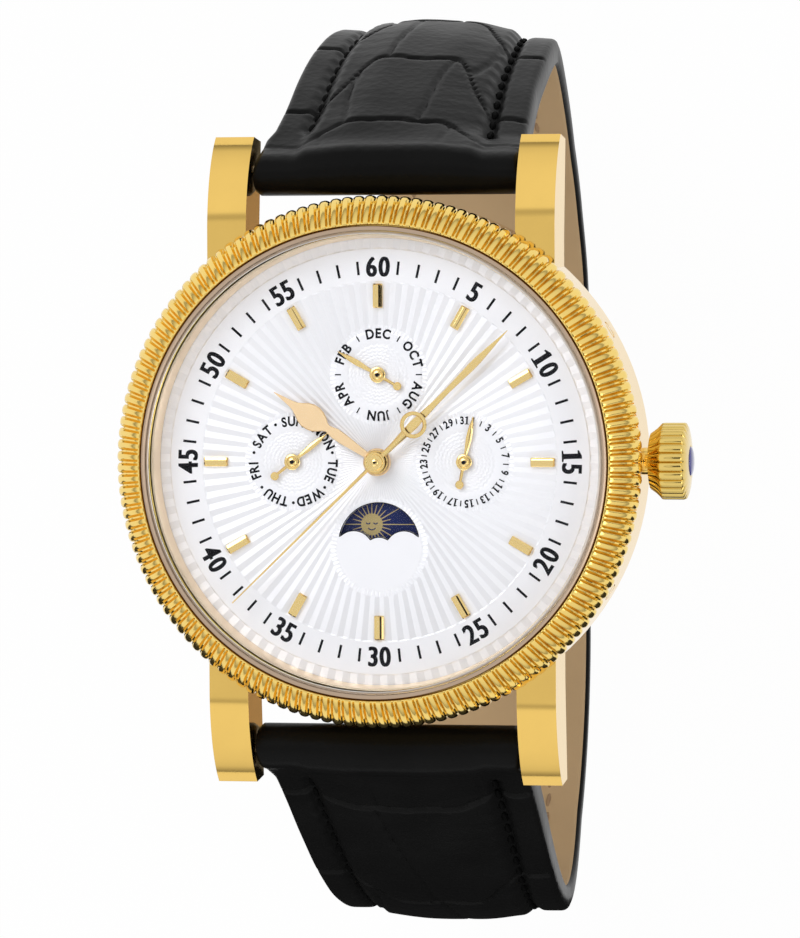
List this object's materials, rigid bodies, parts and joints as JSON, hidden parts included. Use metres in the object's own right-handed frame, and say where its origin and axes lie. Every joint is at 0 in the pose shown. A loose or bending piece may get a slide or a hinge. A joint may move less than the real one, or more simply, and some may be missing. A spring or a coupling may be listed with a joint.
{
  "type": "calendar wristwatch",
  "caption": "Round dress wristwatch with day, date, month and day and night displays, fluted bezel, ribbed crown and a buckled leather strap, closed in its loop.",
  "frame": {"origin": "middle of the case back's outer face, on the dial axis", "axes": "+Z out through the dial, +Y to 12 o'clock, +X to 3 o'clock and the crown"},
  "size_m": [0.0465, 0.0786, 0.0651],
  "materials": {
    "case_gold": "polished yellow gold plate",
    "bezel_gold": "polished yellow gold plate",
    "buckle_gold": "polished yellow gold plate",
    "hand_gold": "polished gold plate",
    "hour_hand_gold": "satin rose gold plate",
    "crystal_glass": "clear polished sapphire",
    "gasket_ring": "polished tension ring",
    "flange_metal": "satin flange that mirrors the bezel",
    "dial_silver": "silvered, engine turned",
    "disc_navy": "gloss navy lacquer",
    "wheel_brass": "fine grained brass",
    "plate_steel": "plated and brushed",
    "works_steel": "polished steel",
    "blued_steel": "heat blued steel",
    "seal_rubber": "matte",
    "cabochon_blue": "polished blue stone",
    "strap_leather": "black embossed leather, semi gloss, tan lining"
  },
  "bodies": {
    "case": {"case_middle": "case_gold", "bezel": "bezel_gold", "crystal": "crystal_glass", "crystal_gasket": "gasket_ring", "dial_flange": "flange_metal", "dial": "dial_silver", "hour_markers": "hand_gold", "calendar_plate": "plate_steel", "movement_ring": "plate_steel", "mainplate": "plate_steel", "barrel_bridge": "plate_steel", "train_bridge": "plate_steel", "balance_cock": "plate_steel", "rotor_post": "blued_steel", "case_back": "case_gold", "back_gasket": "seal_rubber", "back_screws": "case_gold", "crown_tube": "case_gold", "spring_bars": "works_steel", "strap_top": "strap_leather", "strap_bottom": "strap_leather", "fixed_keeper": "strap_leather", "buckle_frame": "buckle_gold", "buckle_bar": "works_steel", "movement_screws": "blued_steel"},
    "minute_works": {"minute_hand": "hand_gold", "cannon_pinion": "works_steel"},
    "hour_works": {"hour_hand": "hour_hand_gold", "hour_wheel": "wheel_brass"},
    "minute_wheel": {"minute_wheel": "wheel_brass"},
    "day_night_disc": {"day_night_disc": "disc_navy"},
    "seconds_works": {"seconds_hand": "hand_gold", "fourth_wheel": "wheel_brass"},
    "third_wheel": {"third_wheel": "wheel_brass"},
    "centre_wheel": {"centre_wheel": "wheel_brass"},
    "mainspring_barrel": {"mainspring_barrel": "wheel_brass"},
    "escape_wheel": {"escape_wheel": "works_steel"},
    "pallet_fork": {"pallet_fork": "works_steel"},
    "balance": {"balance_wheel": "wheel_brass", "hairspring": "blued_steel"},
    "month_works": {"month_hand": "hand_gold", "month_wheel": "wheel_brass"},
    "day_works": {"day_hand": "hand_gold", "day_wheel": "wheel_brass"},
    "date_works": {"date_hand": "hand_gold", "date_wheel": "wheel_brass"},
    "sliding_pinion": {"sliding_pinion": "works_steel"},
    "crown": {"crown": "bezel_gold", "crown_cabochon": "cabochon_blue", "winding_stem": "works_steel"},
    "winding_pinion": {"winding_pinion": "works_steel"},
    "crown_wheel": {"crown_wheel": "works_steel"},
    "ratchet_wheel": {"ratchet_wheel": "works_steel"},
    "click": {"click": "works_steel"},
    "rotor": {"rotor": "wheel_brass"},
    "corrector_upper": {"corrector_upper": "case_gold"},
    "corrector_lower": {"corrector_lower": "case_gold"},
    "free_keeper": {"free_keeper": "strap_leather"},
    "buckle_tang": {"buckle_tang": "buckle_gold"}
  },
  "joints": [
    {"name": "hand_setting", "type": "hinge", "parent": "case", "child": "minute_works", "pos_m": [0, 0, 0.008], "axis": [0, 0, -1], "continuous": true},
    {"name": "hour_hand_turn", "type": "hinge", "parent": "case", "child": "hour_works", "pos_m": [0, 0, 0.008], "axis": [0, 0, -1], "continuous": true},
    {"name": "minute_wheel_turn", "type": "hinge", "parent": "case", "child": "minute_wheel", "pos_m": [0.0018, -0.0018, 0.006], "axis": [0, 0, -1], "continuous": true},
    {"name": "day_night_turn", "type": "hinge", "parent": "case", "child": "day_night_disc", "pos_m": [0, -0.0069, 0.0065], "axis": [0, 0, -1], "continuous": true},
    {"name": "seconds_run", "type": "hinge", "parent": "case", "child": "seconds_works", "pos_m": [0, 0, 0.008], "axis": [0, 0, -1], "continuous": true},
    {"name": "third_wheel_turn", "type": "hinge", "parent": "case", "child": "third_wheel", "pos_m": [-0.00405, -0.00111, 0.004], "axis": [0, 0, -1], "continuous": true},
    {"name": "centre_wheel_turn", "type": "hinge", "parent": "case", "child": "centre_wheel", "pos_m": [0, 0, 0.004], "axis": [0, 0, -1], "continuous": true},
    {"name": "barrel_turn", "type": "hinge", "parent": "case", "child": "mainspring_barrel", "pos_m": [0.0018, 0.00578, 0.004], "axis": [0, 0, -1], "continuous": true},
    {"name": "escape_wheel_turn", "type": "hinge", "parent": "case", "child": "escape_wheel", "pos_m": [0.00101, -0.00377, 0.004], "axis": [0, 0, -1], "continuous": true},
    {"name": "pallet_rock", "type": "hinge", "parent": "case", "child": "pallet_fork", "pos_m": [0.00319, -0.0056, 0.004], "axis": [0, 0, 1], "range_deg": [-5, 5]},
    {"name": "balance_swing", "type": "hinge", "parent": "case", "child": "balance", "pos_m": [0.00634, -0.00714, 0.004], "axis": [0, 0, 1], "range_deg": [-270, 270], "stiffness_Nm_per_rad": 0.0000001},
    {"name": "month_set", "type": "hinge", "parent": "case", "child": "month_works", "pos_m": [0, 0.007, 0.007], "axis": [0, 0, -1], "continuous": true},
    {"name": "day_set", "type": "hinge", "parent": "case", "child": "day_works", "pos_m": [-0.007, 0, 0.007], "axis": [0, 0, -1], "continuous": true},
    {"name": "date_set", "type": "hinge", "parent": "case", "child": "date_works", "pos_m": [0.007, 0, 0.007], "axis": [0, 0, -1], "continuous": true},
    {"name": "crown_turn", "type": "hinge", "parent": "case", "child": "sliding_pinion", "pos_m": [0.008, 0, 0.00415], "axis": [1, 0, 0], "continuous": true},
    {"name": "crown_pull", "type": "slide", "parent": "sliding_pinion", "child": "crown", "axis": [1, 0, 0], "range_m": [0, 0.0009]},
    {"name": "winding_pinion_turn", "type": "hinge", "parent": "case", "child": "winding_pinion", "pos_m": [0.01, 0, 0.00415], "axis": [1, 0, 0], "continuous": true},
    {"name": "crown_wheel_turn", "type": "hinge", "parent": "case", "child": "crown_wheel", "pos_m": [0.00826, 0.00321, 0.002], "axis": [0, 0, 1], "continuous": true},
    {"name": "ratchet_turn", "type": "hinge", "parent": "case", "child": "ratchet_wheel", "pos_m": [0.0018, 0.00578, 0.002], "axis": [0, 0, 1], "continuous": true},
    {"name": "click_lift", "type": "hinge", "parent": "case", "child": "click", "pos_m": [-0.00262, 0.00833, 0.002], "axis": [0, 0, -1], "range_deg": [0, 8], "stiffness_Nm_per_rad": 0.000001, "springref_deg": -2.86},
    {"name": "rotor_swing", "type": "hinge", "parent": "case", "child": "rotor", "pos_m": [0, 0, 0.0012], "axis": [0, 0, -1], "continuous": true},
    {"name": "corrector_upper_press", "type": "slide", "parent": "case", "child": "corrector_upper", "axis": [-0.866, -0.5, 0], "range_m": [0, 0.0006], "stiffness_N_per_m": 2, "springref_m": -0.0003},
    {"name": "corrector_lower_press", "type": "slide", "parent": "case", "child": "corrector_lower", "axis": [-0.866, 0.5, 0], "range_m": [0, 0.0006], "stiffness_N_per_m": 2, "springref_m": -0.0003},
    {"name": "free_keeper_slide", "type": "slide", "parent": "case", "child": "free_keeper", "axis": [0, 1, 0], "range_m": [-0.0012, 0.0018]},
    {"name": "tang_lift", "type": "hinge", "parent": "case", "child": "buckle_tang", "pos_m": [0, -0.0019, -0.049], "axis": [1, 0, 0], "range_deg": [0, 9]}
  ],
  "couplings": [
    {"joint": "hour_hand_turn", "follows": "hand_setting", "ratio": 0.083333},
    {"joint": "minute_wheel_turn", "follows": "hand_setting", "ratio": -0.33333},
    {"joint": "day_night_turn", "follows": "hand_setting", "ratio": 0.041667},
    {"joint": "third_wheel_turn", "follows": "seconds_run", "ratio": -0.13333},
    {"joint": "centre_wheel_turn", "follows": "seconds_run", "ratio": 0.016667},
    {"joint": "barrel_turn", "follows": "seconds_run", "ratio": -0.0033333},
    {"joint": "escape_wheel_turn", "follows": "seconds_run", "ratio": -10},
    {"joint": "winding_pinion_turn", "follows": "crown_turn", "ratio": 1},
    {"joint": "crown_wheel_turn", "follows": "crown_turn", "ratio": 0.33333},
    {"joint": "ratchet_turn", "follows": "crown_turn", "ratio": -0.25}
  ]
}
